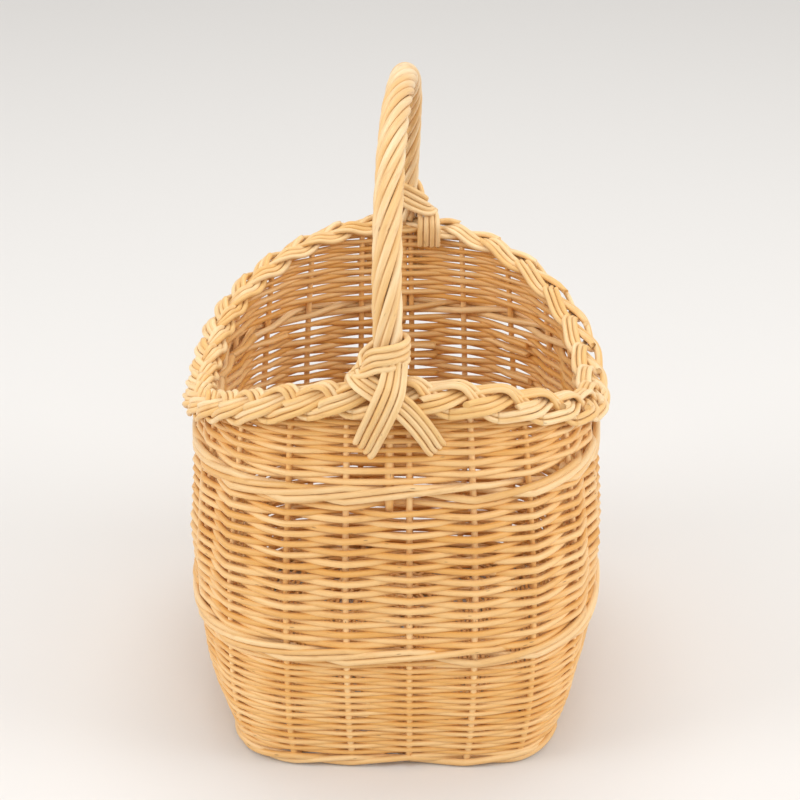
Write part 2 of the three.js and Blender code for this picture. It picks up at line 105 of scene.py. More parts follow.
# Plait of the border: one strand of three rods that goes round three times.
PLAIT_OUTER_TURNS = 34
PLAIT_SHIFT = 2 / 3  # by so many waves the right side has fewer than half of them
PLAIT_REACH = 8.6  # of a strand to each side
PLAIT_LIFT = 2.8  # of a strand over another
PLAIT_CROWN = 2.5  # higher at the inner edge of the sides, and twice as much at the near end
PLAIT_SWAY = 0.3  # how much faster a strand crosses outwards than inwards
PLAIT_FLATNESS = 1.4  # how long a strand keeps to an edge
PLAIT_ROD = 2.05
PLAIT_SPACING = 4.2
PLAIT_OUTWARD = 4.0
PLAIT_TILT = 0.36  # radians, by which the border slopes down outwards
PLAIT_TILT_MORE = 0.26  # at the near end, and so much less at the far one
PLAIT_ROLL = 0.7  # radians, by which a strand leans outwards at the outer edge
WAVE_STEPS = 72
# Where a rod of the plait starts and ends, in waves: hidden below another strand, or, for a new
# rod, with its butt out at the outer turn.
HIDDEN_ENDS = (0.375, 1.43)
NEW_ENDS = (0.57, 1.39)
BUTT_POINTS = (9.0, 6.0, 3.0)  # how far back the points of a butt lie
BUTT_THICKNESS = 1.15
BUTT_OUT = 0.8
BUTT_CUT = 0.6

# Rope of the handle, and the bow it lies on.
ROPE_RODS = 8
ROPE_REACH = 7.5
ROPE_ROD = 2.72
ROPE_LAY = 148.0
ROPE_BOTTOM = 307.0
ROPE_TONES = (0.15, 0.8, 0.45, 0.95, 0.3, 0.65, 0.1, 0.55)
BOW_SQUARENESS = 2.15
BOW_LEAN = 2.9  # to the right at the top
BOW_SKEW = 3.9  # to the left in front and to the right behind

# Base.
STICK_HEIGHT = 7.6
STICK_CUT = 0.3
LONG_STICKS = 3
LONG_STICK_HALF = 142
LONG_STICK_RADIUS = 2.8
LONG_STICK_SPACING = 9.0
SHORT_STICKS = 5
SHORT_STICK_HALF = 92
SHORT_STICK_RADIUS = 2.6
SHORT_STICK_SPACING = 44.0
SLIT_HALF = 19
BASE_ROD = 1.65
BASE_PITCH = 3.5
BASE_STEPS = 7
BASE_WAVE = 3.4  # of a rod over and under the ribs
BASE_EDGE = 26  # from the edge, where the rods begin to lie lower and flatter
BASE_EDGE_HEIGHT = 5.6
BASE_EDGE_WAVE = 2.2

# Colours of each finish: its pale rods, its golden ones and the darker streaks on both.
FINISHES = {
    "stake_willow": ((0.92, 0.62, 0.30), (0.81, 0.45, 0.14), (0.55, 0.24, 0.06)),
    "wall_willow": ((0.87, 0.56, 0.24), (0.75, 0.38, 0.085), (0.51, 0.20, 0.035)),
    "wale_willow": ((0.86, 0.59, 0.29), (0.75, 0.42, 0.13), (0.51, 0.23, 0.05)),
    "border_willow": ((0.88, 0.65, 0.36), (0.78, 0.47, 0.16), (0.54, 0.26, 0.07)),
    "handle_willow": ((0.86, 0.66, 0.39), (0.77, 0.48, 0.19), (0.54, 0.27, 0.09)),
    # The base's colours are paler and more orange than the wall's. This is partly the willow's own
    # golden colour and partly painted bounce light, standing in for the warm light in the basket's
    # shaded inside.
    "base_willow": ((0.93, 0.58, 0.24), (0.85, 0.46, 0.13), (0.58, 0.25, 0.05)),
}
BUD_BROWN = (0.20, 0.085, 0.03)
DULLNESS = 0.5

# Camera at the photograph's viewing angle, floor, backdrop and lamps, in metres.
TARGET = np.array([0.0024, 0.0, 0.2204])
CAMERA_DISTANCE = 1.6116
ELEVATION = math.radians(23.39)
YAW = math.radians(0.5)
LENS = 94.6
SENSOR = 36.0
FLOOR_HALF = 9.0
FLOOR_COLOUR = (0.73, 0.715, 0.70)
BACKGROUND = (0.83, 0.81, 0.79)
DAYLIGHT = (1.0, 0.985, 0.96)
DAYLIGHT_STRENGTH = 0.75
LAMP_TARGET = (0.0, 0.0, 0.2)
LAMPS = {
    # Place, diameter and power.
    "left_light": ((-2.5, -0.9, 1.5), 1.6, 30),
    "right_light": ((2.5, -0.7, 1.5), 1.6, 29),
    "front_light": ((0.3, -2.6, 2.1), 1.6, 13),
    "top_light": ((0.0, 0.6, 2.9), 1.8, 22),
}

UP = np.array([0.0, 0.0, 1.0])
RIGHT = np.array([1.0, 0.0, 0.0])


def unit(v):
    return v / np.maximum(np.linalg.norm(v, axis=-1, keepdims=True), 1e-9)


def lerp(a, b, t):
    return a + (b - a) * t


def wobble(t, step, seed):
    """Smooth random values from -1 to 1 along t, with a new one about every step."""
    t = np.asarray(t, float) / step
    cell = np.floor(t).astype(int)
    part = t - cell
    part = part * part * (3 - 2 * part)

    def draw(n):
        return np.modf(np.sin(n * 12.9898 + seed * 78.233) * 43758.5453)[0]

    return lerp(draw(cell), draw(cell + 1), part)


def plan_at(height):
    below = 1 - min(max(height / BELLY_HEIGHT, 0.0), 1.0)
    over = max(height - BELLY_HEIGHT, 0.0) / (BORDER_AT_ENDS - BELLY_HEIGHT)
    return [
        lerp(belly, base, below**pace) + (rim - belly) * over
        for base, belly, rim, pace in zip(BASE_PLAN, BELLY_PLAN, RIM_PLAN, (FLARE, FLARE, ROUNDING))
    ]


class Wall:
    """The wall as a surface: how far round, from 0 at the near end on past +X, and how high."""

    STEP = 4.0
    COUNT = 1440

    def __init__(self):
        self.heights = np.arange(0, 340, self.STEP)
        t = np.linspace(0, 2 * math.pi, 4 * self.COUNT + 1)
        s, c = np.sin(t), np.cos(t)
        even = np.arange(self.COUNT + 1) / self.COUNT
        rows = []
        self.lengths = []
        for height in self.heights:
            a, b, n = plan_at(height)
            x = a * np.sign(s) * np.abs(s) ** (2 / n)
            y = -b * np.sign(c) * np.abs(c) ** (2 / n)
            run = np.concatenate([[0], np.cumsum(np.hypot(np.diff(x), np.diff(y)))])
            u = run / run[-1]
            rows.append(np.stack([np.interp(even, u, x), np.interp(even, u, y)], -1))
            self.lengths.append(run[-1])
        self.plan = np.array(rows)
        along = unit(np.roll(self.plan[:, :-1], -4, 1) - np.roll(self.plan[:, :-1], 4, 1))
        out = np.stack([along[..., 1], -along[..., 0]], -1)
        self.out = np.concatenate([out, out[:, :1]], 1)

    def read(self, table, u, z):
        u = np.asarray(u, float)
        z = np.broadcast_to(np.asarray(z, float), u.shape)
        across = (u - np.floor(u)) * self.COUNT
        i = np.minimum(across.astype(int), self.COUNT - 1)
        f = (across - i)[..., None]
        upward = np.clip(z / self.STEP, 0, len(self.heights) - 1.001)
        k = upward.astype(int)
        g = (upward - k)[..., None]
        low = lerp(table[k, i], table[k, i + 1], f)
        high = lerp(table[k + 1, i], table[k + 1, i + 1], f)
        return lerp(low, high, g), z

    def point(self, u, z, offset=0.0):
        flat, z = self.read(self.plan, u, z)
        out = unit(self.read(self.out, u, z)[0])
        flat = flat + out * np.asarray(offset)[..., None]
        return np.concatenate([flat, z[..., None]], -1)

    def level(self, u, z):
        out, z = self.read(self.out, u, z)
        return unit(np.concatenate([out, 0 * z[..., None]], -1))

    def length(self, z):
        return np.interp(z, self.heights, self.lengths)


wall = Wall()


def border_height(u):
    return lerp(BORDER_AT_SIDES, BORDER_AT_ENDS, np.cos(2 * math.pi * np.asarray(u)) ** 2)


def row_height(u, z):
    """The weave above the lower wale is beaten down at the sides, more so the higher it lies."""
    part = (np.asarray(z, float) - SAG_FROM) / (SAG_FULL - SAG_FROM)
    return z - SIDE_SAG * np.clip(part, 0, 1) * np.sin(2 * math.pi * np.asarray(u)) ** 2


# Rods are swept along their paths and gathered into one mesh for each piece.


def frames_along(path, broad):
    """Tangents and side directions. Without broad, the side turns as little as it can."""
    tangent = unit(np.gradient(path, axis=0))
    if broad is not None:
        return tangent, unit(broad - (broad * tangent).sum(-1, keepdims=True) * tangent)
    side = np.empty_like(path)
    held = UP if abs(tangent[0, 2]) < 0.9 else RIGHT
    for i, t in enumerate(tangent):
        held = held - held.dot(t) * t
        held = held / np.linalg.norm(held)
        side[i] = held
    return tangent, side


class Rods:
    """The rods of one piece, each swept with so many sides."""

    def __init__(self, name, sides):
        self.name = name
        self.sides = sides
        self.points, self.faces, self.grain, self.tone = [], [], [], []
        self.count = 0
        self.rods = 0

    def add(self, path, radius, tone, cut=0.0, flat=1.0, broad=None):
        path = np.asarray(path, float)
        n, m = len(path), self.sides
        radius = np.broadcast_to(np.asarray(radius, float), (n,))
        tangent, side = frames_along(path, broad)
        over = np.cross(tangent, side)
        angle = np.arange(m) * 2 * math.pi / m
        ring = np.cos(angle)[None, :, None] * side[:, None]
        ring = ring + np.sin(angle)[None, :, None] * flat * over[:, None]
        points = path[:, None] + radius[:, None, None] * ring
        if cut:
            # A slanted cut at both ends, as a maker's knife leaves it.
            for end, way in ((0, 1), (-1, -1)):
                lean = (np.cos(angle + self.rods)[:, None] + 1) * radius[end] * cut
                points[end] = points[end] + way * lean * tangent[end]
        along = np.concatenate([[0], np.cumsum(np.linalg.norm(np.diff(path, axis=0), axis=1))])
        # No two rods have the same grain.
        seed = self.rods * 37.7 + len(self.name) * 11.3
        grain = np.empty((n, m, 3))
        grain[..., 0] = along[:, None]
        grain[..., 1] = np.cos(angle) * 3 + seed
        grain[..., 2] = np.sin(angle) * 3 - seed
        base = self.count
        here = base + m * np.arange(n - 1)[:, None]
        j = np.arange(m)[None]
        k = (j + 1) % m
        quads = np.stack([here + j, here + k, here + m + k, here + m + j], -1)
        self.faces.extend(quads.reshape(-1, 4).tolist())
        self.faces.append((base + np.arange(m)[::-1]).tolist())
        self.faces.append((base + (n - 1) * m + np.arange(m)).tolist())
        self.points.append(points.reshape(-1, 3))
        self.grain.append(grain.reshape(-1, 3))
        self.tone.append(np.full(n * m, tone))
        self.count += n * m
        self.rods += 1

    def build(self, slot, node):
        mesh = bpy.data.meshes.new(self.name)
        mesh.from_pydata((np.concatenate(self.points) * 0.001).tolist(), [], self.faces)
        for key, kind, field, values in (
            ("grain", "FLOAT_VECTOR", "vector", self.grain),
            ("tone", "FLOAT", "value", self.tone),
        ):
            attribute = mesh.attributes.new(key, kind, "POINT")
            attribute.data.foreach_set(field, np.concatenate(values).astype(np.float32).ravel())
        smooth = np.array([len(face) == 4 for face in self.faces])
        mesh.polygons.foreach_set("use_smooth", smooth)
        mesh.materials.append(finishes[slot])
        mesh.update()
        piece = bpy.data.objects.new(self.name, mesh)
        bpy.context.scene.collection.objects.link(piece)
        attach(piece, "root")
        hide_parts(node)


# Stakes lean and wander a little, and the weavers go by where the stakes really are.


def stake_place(j, z):
    z = np.asarray(z, float)
    drift = 1.3 * wobble(z, 95, 3.1 + j) + 0.8 * wobble(z, 300, 40 + j)
    return (j + LEG_SHIFT) / STAKES + drift / wall.length(z)


def posts_at(z):
    """What a weaver passes in one round: (place, shed, radius)."""
    posts = [(float(stake_place(j, z)), j, STAKE_RADIUS) for j in range(STAKES)]
    if z > BOW_LEG_BOTTOM:
        shift = LEG_ACROSS / wall.length(z)
        posts.insert(FAR_STAKE + 1, (0.5 + shift, FAR_STAKE, BOW_RADIUS))
        posts.insert(0, (shift, 0, BOW_RADIUS))
    return posts


def settle(u, z):
    """Rows lie a little uneven, and neighbours share the unevenness. The foot stands level."""
    around = RIM_LENGTH * u
    return np.clip(z / LEVEL_BELOW - 0.3, 0, 1) * (
        0.9 * np.sin(2 * math.pi * (u * 3 + 0.3) + z * 0.021)
        + 0.6 * wobble(around + 3 * z, 120, 5.5)
        + 0.35 * wobble(around - 5 * z, 60, 9.5)
    )


def ease(f, bend):
    return lerp(f, 0.5 - 0.5 * np.cos(math.pi * f), bend)


class Weaver:
    """A long weaver as arrays of place, height and distance in front of the wall."""

    def __init__(self, stops, samples, bend, seed):
        # stops: place, height, offset and whether a rod may end there.
        stops = np.asarray(stops, float)
        f = np.arange(samples) / samples
        g = ease(f, bend)
        a, b = stops[:-1, None], stops[1:, None]
        self.u = np.append(lerp(a[..., 0], b[..., 0], f).ravel(), stops[-1, 0])
        self.z = np.append(lerp(a[..., 1], b[..., 1], f).ravel(), stops[-1, 1])
        self.offset = np.append(lerp(a[..., 2], b[..., 2], g).ravel(), stops[-1, 2])
        self.z = row_height(self.u, self.z) + settle(self.u, self.z)
        self.offset = self.offset + 0.25 * wobble(self.u * RIM_LENGTH + 77 * seed, 23, seed)
        self.samples = samples
        self.ends = [i for i in range(len(stops)) if stops[i, 3] > 0]

    def path(self, first, last):
        return wall.point(self.u[first:last], self.z[first:last], self.offset[first:last])


def lay(rods, weaver, radius, rng, spaces):
    """Cuts a long weaver into single rods that start and end behind a post."""
    samples = weaver.samples
    last = (len(weaver.u) - 1) // samples
    cuts = [0]
    while True:
        wanted = cuts[-1] + rng.randint(*spaces)
        ahead = [e for e in weaver.ends if e >= wanted]
        if not ahead or ahead[0] > last - LAST_SPACES:
            break
        cuts.append(ahead[0])
    cuts.append(last)
    for k, (start, stop) in enumerate(zip(cuts[:-1], cuts[1:])):
        first = max(int((start - (ROD_OVERLAP if k else 0)) * samples), 0)
        end = min(int((stop + ROD_OVERLAP) * samples) + 1, len(weaver.u))
        path = weaver.path(first, end)
        i = np.arange(len(path))
        if k:
            # The new rod starts inside the basket, behind the one that it follows.
            tuck = np.clip(1 - i / (2.2 * ROD_OVERLAP * samples), 0, 1)
            inward = wall.level(weaver.u[first:end], weaver.z[first:end])
            path = path - inward * (2.0 * radius * tuck)[:, None]
            path[:, 2] -= 0.5 * radius * tuck
        taper = 1 + ROD_TAPER * (0.5 - i / max(len(path) - 1, 1))
        size = radius * taper * (1 + 0.04 * wobble(i + 100 * rng.rand(), 9, 7.7))
        rods.add(path, size * rng.uniform(0.94, 1.05), tone=rng.rand(), cut=ROD_CUT)


def randing(bottom, rounds, pitch, radius, crimp, seed):
    """Plain weave: in front of one post and behind the next, climbing all the way."""
    stops = []
    for r in range(rounds):
        depth = np.interp(r, (FIRM_ROUNDS, 2 * FIRM_ROUNDS), crimp)
        for u, shed, post in posts_at(bottom + pitch * r):
            side = 1 if (shed + r * STAKES) % 2 == 0 else -1
            stops.append((u + r, bottom + pitch * (u + r), side * depth * (post + radius), side < 0))
    return Weaver(stops, 10, 0.15, seed)


def make_siding(node, siding, seed):
    rods = Rods(f"{node}_rods", 8)
    rng = np.random.RandomState(seed)
    lay(rods, randing(**siding, seed=seed), siding["radius"], rng, SIDING_SPACES)
    rods.build("wall_willow", node)


def make_wale(node, wale, seed):
    """Each rod goes in front of all but one of as many stakes as there are rods, and behind one."""
    rods = Rods(f"{node}_rods", 10)
    rng = np.random.RandomState(seed)
    radius, count = wale["radius"], wale["count"]
    step = 2 * radius * WALE_CLOSENESS
    bottom = wale["middle"] - step * (count - 2) / 2
    reach = wale["crimp"] * (STAKE_RADIUS + radius)
    spaces = (STAKES // count) * count
    for m in range(count):
        stops = []
        for j in range(m, m + spaces + 1):
            turn, stake = divmod(j, STAKES)
            u = float(stake_place(stake, wale["middle"])) + turn
            place = (j - m) % count
            if place == 0:
                stops.append((u, wale["behind"], -reach, 1))
            else:
                stops.append((u, bottom + step * (place - 1), reach, 0))
        lay(rods, Weaver(stops, 12, 0.6, seed + m), radius, rng, WALE_SPACES)
    rods.build("wale_willow", node)


def make_stakes():
    """Each stake lies in the base with its toe, and turns up into the wall."""
    for j in range(STAKES):
        rods = Rods(f"stake_rod_{j + 1:02d}", 10)
        u0 = stake_place(j, 10.0)
        top = float(border_height(u0)) - STAKE_TOP
        level = wall.level(np.array([u0]), 5.0)[0]
        foot = wall.point(np.array([u0]), 2.0)[0]
        foot[2] = TOE_HEIGHT
        bend = [foot - level * d for d in (STAKE_TOE, STAKE_TOE * 0.6, 8.0, 4.0)]
        bend[-1][2] += 0.6
        z = np.concatenate([[7.0], np.arange(12, top, 6.0), [top]])
        path = np.concatenate([bend, wall.point(stake_place(j, z), z)])
        taper = np.linspace(1.08, 0.9, len(path))
        rods.add(path, STAKE_RADIUS * taper, tone=float(0.5 + 0.5 * math.sin(j * 2.4)))
        rods.build("stake_willow", f"stake_{j + 1:02d}")


def make_packing(node, centre, seed):
    """Rows that run from border to border below the handle, and end inside the plait."""
    rods = Rods(f"{node}_rods", 8)
    rng = np.random.RandomState(seed)
    fine = np.linspace(-PACKING_REACH, PACKING_REACH, 521)
    heights = [
        (z, radius)
        for radius, pitch, lowest, highest in PACKING_ROWS
        for z in np.arange(lowest, highest, pitch)
    ]
    for row, (z, radius) in enumerate(heights):
        below = row_height(centre + fine, z) < border_height(centre + fine) - PACKING_TUCK
        first, last = fine[below][0], fine[below][-1]
        stops = []
        for u, shed, post in posts_at(z):
            away = u - centre - round(u - centre)
            if first + PACKING_ROOM < away < last - PACKING_ROOM:
                side = 1 if (shed + row) % 2 == 0 else -1
                stops.append((centre + away, z, side * PACKING_CRIMP * (post + radius), 1))
        stops = [(centre + first, z, 0.0, 0), *sorted(stops), (centre + last, z, 0.0, 0)]
        weaver = Weaver(stops, 8, 0.15, 31 + row)
        size = radius * rng.uniform(0.92, 1.05)
        rods.add(weaver.path(0, len(weaver.u)), size, tone=rng.rand(), cut=ROD_CUT)
    rods.build("wall_willow", node)


# Border.

WAVES = PLAIT_OUTER_TURNS / 3


def place_after(waves):
    """Where the strand has gone through so many waves. They are longer on the right side."""
    u = waves / WAVES
    for _ in range(20):
        u = (waves + PLAIT_SHIFT / 2 * (1 - np.cos(2 * math.pi * u))) / WAVES
    return u


def plait_strand(waves):
    """Middle of the strand, and the direction in which its broad side faces."""
    u = place_after(waves)
    phase = 2 * math.pi * waves - math.pi / 2
    phase = phase + PLAIT_SWAY * np.sin(phase)
    z = border_height(u)
    level = wall.level(u, z)
    nearness = np.cos(2 * math.pi * u)[:, None]
    tilt = PLAIT_TILT + PLAIT_TILT_MORE * nearness
    across = np.cos(tilt) * level - np.sin(tilt) * UP
    face = np.sin(tilt) * level + np.cos(tilt) * UP
    wave = np.tanh(PLAIT_FLATNESS * np.sin(phase))[:, None] / math.tanh(PLAIT_FLATNESS)
    lift = -PLAIT_LIFT * np.sin(2 * phase)[:, None] + PLAIT_CROWN * (1 + nearness) * (1 - wave) / 2
    path = wall.point(u, z, PLAIT_OUTWARD) + across * PLAIT_REACH * wave + face * lift
    path[:, 2] += 0.5 * wobble(u * PLAIT_LENGTH, 40, 3.0)
    roll = PLAIT_ROLL * np.sin(phase)[:, None]
    return path, np.cos(roll) * face + np.sin(roll) * across, level


def make_border():
    """Three rods side by side. The outer one is new at each outer turn, where its butt stays out."""
    rods = Rods("plaited_border_rods", 10)
    rng = np.random.RandomState(2)
    steps = WAVE_STEPS * PLAIT_OUTER_TURNS
    path, normal, level = plait_strand(np.arange(steps) / WAVE_STEPS)
    tangent = unit(np.roll(path, -1, 0) - np.roll(path, 1, 0))
    beside = unit(np.cross(normal, tangent))
    along = np.arange(steps) * WAVE_LENGTH / WAVE_STEPS
    for lane in (-1, 0, 1):
        gap = lane * PLAIT_SPACING + 0.25 * wobble(along, 17, 8 + lane)
        line = path + beside * gap[:, None] + normal * (0.3 * wobble(along, 13, 4 + lane))[:, None]
        outer = lane == 1
        start, end = NEW_ENDS if outer else HIDDEN_ENDS
        for turn in range(PLAIT_OUTER_TURNS):
            i = np.arange(int((turn + start) * WAVE_STEPS), int((turn + end) * WAVE_STEPS)) % steps
            whole = line[i]
            size = PLAIT_ROD * np.linspace(1.04, 0.97, len(i)) * rng.uniform(0.95, 1.03)
            if outer:
                back = np.array(BUTT_POINTS)[:, None] * rng.uniform(0.1, 1.2)
                bend = (back / BUTT_POINTS[0]) ** 1.5 * BUTT_OUT
                butt = line[i[0]] - back * tangent[i[0]] + bend * (level[i[0]] - UP)
                thick = np.full(len(butt), BUTT_THICKNESS * PLAIT_ROD)
                whole = np.concatenate([butt, whole])
                size = np.concatenate([thick, size * np.linspace(BUTT_THICKNESS, 1.0, len(i))])
            rods.add(whole, size, tone=rng.rand(), cut=BUTT_CUT if outer else 0.0)
    rods.build("border_willow", "plaited_border")


# Handle.

FOOT_Y = wall.point(np.array([0.0]), BORDER_AT_ENDS)[0][1]


def bow_curve():
    t = np.linspace(0, math.pi, 1201)
    c = np.cos(t)
    y = FOOT_Y * np.sign(c) * np.abs(c) ** (2 / BOW_SQUARENESS)
    z = BORDER_AT_ENDS + (HANDLE_APEX - BORDER_AT_ENDS) * np.abs(np.sin(t)) ** (2 / BOW_SQUARENESS)
    x = -LEG_ACROSS * y / abs(FOOT_Y) + BOW_LEAN * np.sin(t) - BOW_SKEW * np.sin(2 * t)
    path = np.stack([x, y, z], -1)
    run = np.concatenate([[0], np.cumsum(np.linalg.norm(np.diff(path, axis=0), axis=1))])
    return path, run


BOW_PATH, BOW_RUN = bow_curve()


def on_bow(run):
    return np.stack([np.interp(run, BOW_RUN, BOW_PATH[:, k]) for k in range(3)], -1)


def bow_outward(run):
    tangent = unit(on_bow(run + 1.5) - on_bow(run - 1.5))
    return np.cross(RIGHT, tangent)


def make_bow():
    """One rod, pushed down into the weave at both ends."""
    rods = Rods("handle_bow_rod", 12)
    z = np.arange(BOW_LEG_BOTTOM, BORDER_AT_ENDS - 3, 8.0)
    near = wall.point(LEG_ACROSS / wall.length(z), z)
    far = wall.point(0.5 + LEG_ACROSS / wall.length(z), z)[::-1]
    arch = on_bow(np.linspace(0, BOW_RUN[-1], 90))
    path = np.concatenate([near, arch, far])
    i = np.arange(len(path))
    size = BOW_RADIUS * np.clip(np.minimum(i, i[::-1]) / 4 + 0.7, 0, 1)
    rods.add(path, size, tone=0.4)
    rods.build("stake_willow", "handle_bow")


def make_rope():
    start = np.interp(ROPE_BOTTOM, BOW_PATH[:600, 2], BOW_RUN[:600])
    run = np.linspace(start, BOW_RUN[-1] - start, 220)
    for k in range(ROPE_RODS):
        rods = Rods(f"handle_rope_{k + 1}", 12)
        turn = 2 * math.pi * (k / ROPE_RODS - (run - start) / ROPE_LAY)
        turn = turn + 0.05 * wobble(run, 60, 21 + k)
        reach = ROPE_REACH + 0.22 * wobble(run, 45, 11 + k)
        around = np.cos(turn)[:, None] * RIGHT + np.sin(turn)[:, None] * bow_outward(run)
        path = on_bow(run) + reach[:, None] * around
        size = ROPE_ROD * (1 + 0.05 * wobble(run, 70, 31 + k)) * np.linspace(1.02, 0.98, len(run))
        rods.add(path, size, tone=ROPE_TONES[k], broad=around)
        rods.build("handle_willow", f"handle_rope_rod_{k + 1}")


# Lashings, made for the near end. end is 1 there, and -1 turns them to the far end.

LASHING_RODS = 4
LASHING_STEPS = 10
LASHING_CUT = 0.3


def smooth_path(corners, count):
    """A path through corners with rounded turns."""
    corners = np.asarray(corners, float)
    first = 2 * corners[0] - corners[1]
    last = 2 * corners[-1] - corners[-2]
    p = np.concatenate([[first], corners, [last]])
    out = []
    for i in range(1, len(p) - 2):
        t = np.linspace(0, 1, count, endpoint=False)[:, None]
        a, b, c, d = p[i - 1], p[i], p[i + 1], p[i + 2]
        curve = (2 * a - 5 * b + 4 * c - d) * t**2 + (3 * b - a - 3 * c + d) * t**3
        out.append(0.5 * (2 * b + (c - a) * t + curve))
    out.append(corners[-1:])
    return np.concatenate(out)


def lashing_rods(corners, end, seed):
    """Rods side by side along corners of (across, out of the wall, up, spacing, normal).

    Across counts from the handle's leg, and the normal is the way that the broad side faces.
    """
    rng = np.random.RandomState(seed)
    path = smooth_path([c[:4] + c[4] for c in corners], LASHING_STEPS)
    spacing, normal, path = path[:, 3:4], unit(path[:, 4:]), path[:, :3]
    side = unit(np.cross(unit(np.gradient(path, axis=0)), normal))
    for k in range(LASHING_RODS):
        lane = path + side * (k - (LASHING_RODS - 1) / 2) * spacing
        lane = lane + 0.2 * wobble(np.arange(len(path)) + 31 * k, 8, k + 1)[:, None]
        across = LEG_ACROSS + lane[:, 0]
        world = np.stack([end * across, end * (FOOT_Y - lane[:, 1]), lane[:, 2]], -1)
        yield world, 0.49 * spacing[:, 0] * rng.uniform(0.97, 1.03), rng.uniform(0.35, 1)


OUT = (0.0, 1.0, 0.36)
OVER = [
    (-18, 1, 262, 4.7, OUT),
    (-16, 7.5, 267, 4.7, OUT),
    (-12.5, 13, 277, 4.9, OUT),
    (-7.5, 19, 290, 5.0, OUT),
    (-2.3, 21.5, 303, 5.1, OUT),
    (1.5, 20, 313, 5.0, OUT),
    (3.5, 15, 322, 4.6, OUT),
    (4.5, 11.5, 331, 4.3, OUT),
]
# Four rods come up outside, turn back over the border, go round behind the leg and across in
# front of it, and come down inside.
AROUND = [
    (33, 0, 262, 3.8, OUT),
    (31, 6.5, 267, 3.9, OUT),
    (26, 11.5, 277, 4.0, OUT),
    (18.5, 15.5, 289, 4.1, OUT),
    (9, 17, 300, 4.2, OUT),
    (-2.5, 15.5, 307.5, 4.2, (0.0, 1.0, 0.5)),
    (-12, 12, 312, 4.1, (-0.2, 0.8, 0.7)),
    (-19.5, 6, 315.5, 4.0, (-0.5, 0.4, 0.8)),
    (-22.5, -3, 318, 4.0, (-0.6, -0.3, 0.8)),
    (-19, -11.5, 321, 4.2, (-0.5, -0.8, 0.5)),
    (-10, -14.5, 326.5, 4.6, (-0.3, -1.0, 0.2)),
    (1, -14, 332.5, 4.7, (0.1, -1.0, 0.0)),
    (9.5, -9.5, 334, 4.7, (0.8, -0.7, 0.0)),
    (12.5, -1, 334.5, 4.7, (1.0, 0.0, 0.0)),
    (9, 8.5, 334.5, 4.7, (0.7, 0.8, 0.0)),
    (0, 13.5, 333.5, 4.6, (0.0, 1.0, 0.1)),
    (-9, 11, 331, 4.4, (-0.5, 0.85, 0.2)),
    (-15, 4.5, 325, 4.2, (-0.7, 0.5, 0.4)),
    (-19, -3, 317, 4.2, (-0.4, -0.1, 0.9)),
    (-21, -9.5, 312, 4.4, (-0.1, -0.6, 0.8)),
    (-21.5, -13, 305, 4.7, (0.0, -1.0, 0.2)),
    (-21.5, -13, 296, 4.8, (0.0, -1.0, 0.0)),
    (-21.5, -11, 286, 4.8, (0.0, -1.0, 0.0)),
]
# The corners of AROUND where the rods go behind the leg, and where they come down inside.
BEHIND_FROM = 8
INSIDE_FROM = 18


def make_lashings(where, end):
    over = Rods(f"lashing_{where}_over_rods", 10)
    for path, radius, tone in lashing_rods(OVER, end, 1):
        over.add(path, radius, tone, LASHING_CUT)
    over.build("border_willow", f"lashing_{where}_over")
    around = list(lashing_rods(AROUND, end, 2))
    behind, inside = LASHING_STEPS * BEHIND_FROM, LASHING_STEPS * INSIDE_FROM
    for node, part, cut in (
        (f"lashing_{where}_under", slice(0, behind + 1), LASHING_CUT),
        (f"handle_wrap_{where}", slice(behind, inside + 1), 0.0),
        (f"lashing_{where}_inside", slice(inside, None), LASHING_CUT),
    ):
        rods = Rods(f"{node}_rods", 10)
        for path, radius, tone in around:
            rods.add(path[part], radius[part], tone, cut)
        rods.build("border_willow", node)


# Base: crossed sticks, and rows of thin rods woven round them.


def shrunk(u, inset):
    """Points of the base's oval so far inside its edge. It grows rounder toward the middle."""
    a, b, n = BASE_PLAN
    angle = 2 * math.pi * np.asarray(u)
    s, c = np.sin(angle), np.cos(angle)
    power = 2 / lerp(n, 2.2, min(inset / 90, 1))
    x = (a - inset) * np.sign(s) * np.abs(s) ** power
    y = -(b - inset) * np.sign(c) * np.abs(c) ** power
    return x, y


def make_base():
    rods = Rods("base_weave_rods", 8)
    rng = np.random.RandomState(8)
    even = np.linspace(0, 1, 1201)
    ribs = np.arange(STAKES * BASE_STEPS + 1) / BASE_STEPS
    at = (ribs + LEG_SHIFT) / STAKES
    for row in range(int((BASE_PLAN[0] - 5) / BASE_PITCH)):
        inset = 2 + BASE_PITCH * row
        x, y = shrunk(even, inset)
        run = np.concatenate([[0], np.cumsum(np.hypot(np.diff(x), np.diff(y)))])
        where = (at - np.floor(at)) * run[-1]
        side = np.cos(math.pi * (ribs + row))
        deep = min(inset / BASE_EDGE, 1)
        z = lerp(BASE_EDGE_HEIGHT, STICK_HEIGHT, deep) + lerp(BASE_EDGE_WAVE, BASE_WAVE, deep) * side
        z = z + 0.15 * wobble(at * run[-1], 14, row)
        path = np.stack([np.interp(where, run, x), np.interp(where, run, y), z], -1)
        cuts = [0, 8 + rng.randint(6), 17 + rng.randint(5), STAKES]
        for first, last in zip(cuts[:-1], cuts[1:]):
            part = path[first * BASE_STEPS : last * BASE_STEPS + 3]
            size = BASE_ROD * np.linspace(1.08, 0.92, len(part)) * rng.uniform(0.95, 1.05)
            rods.add(part, size, tone=rng.rand())
    # The base's finish carries painted bounce light: its colours are brightened for the shade inside
    # the basket.
    rods.build("base_willow", "base_weave")


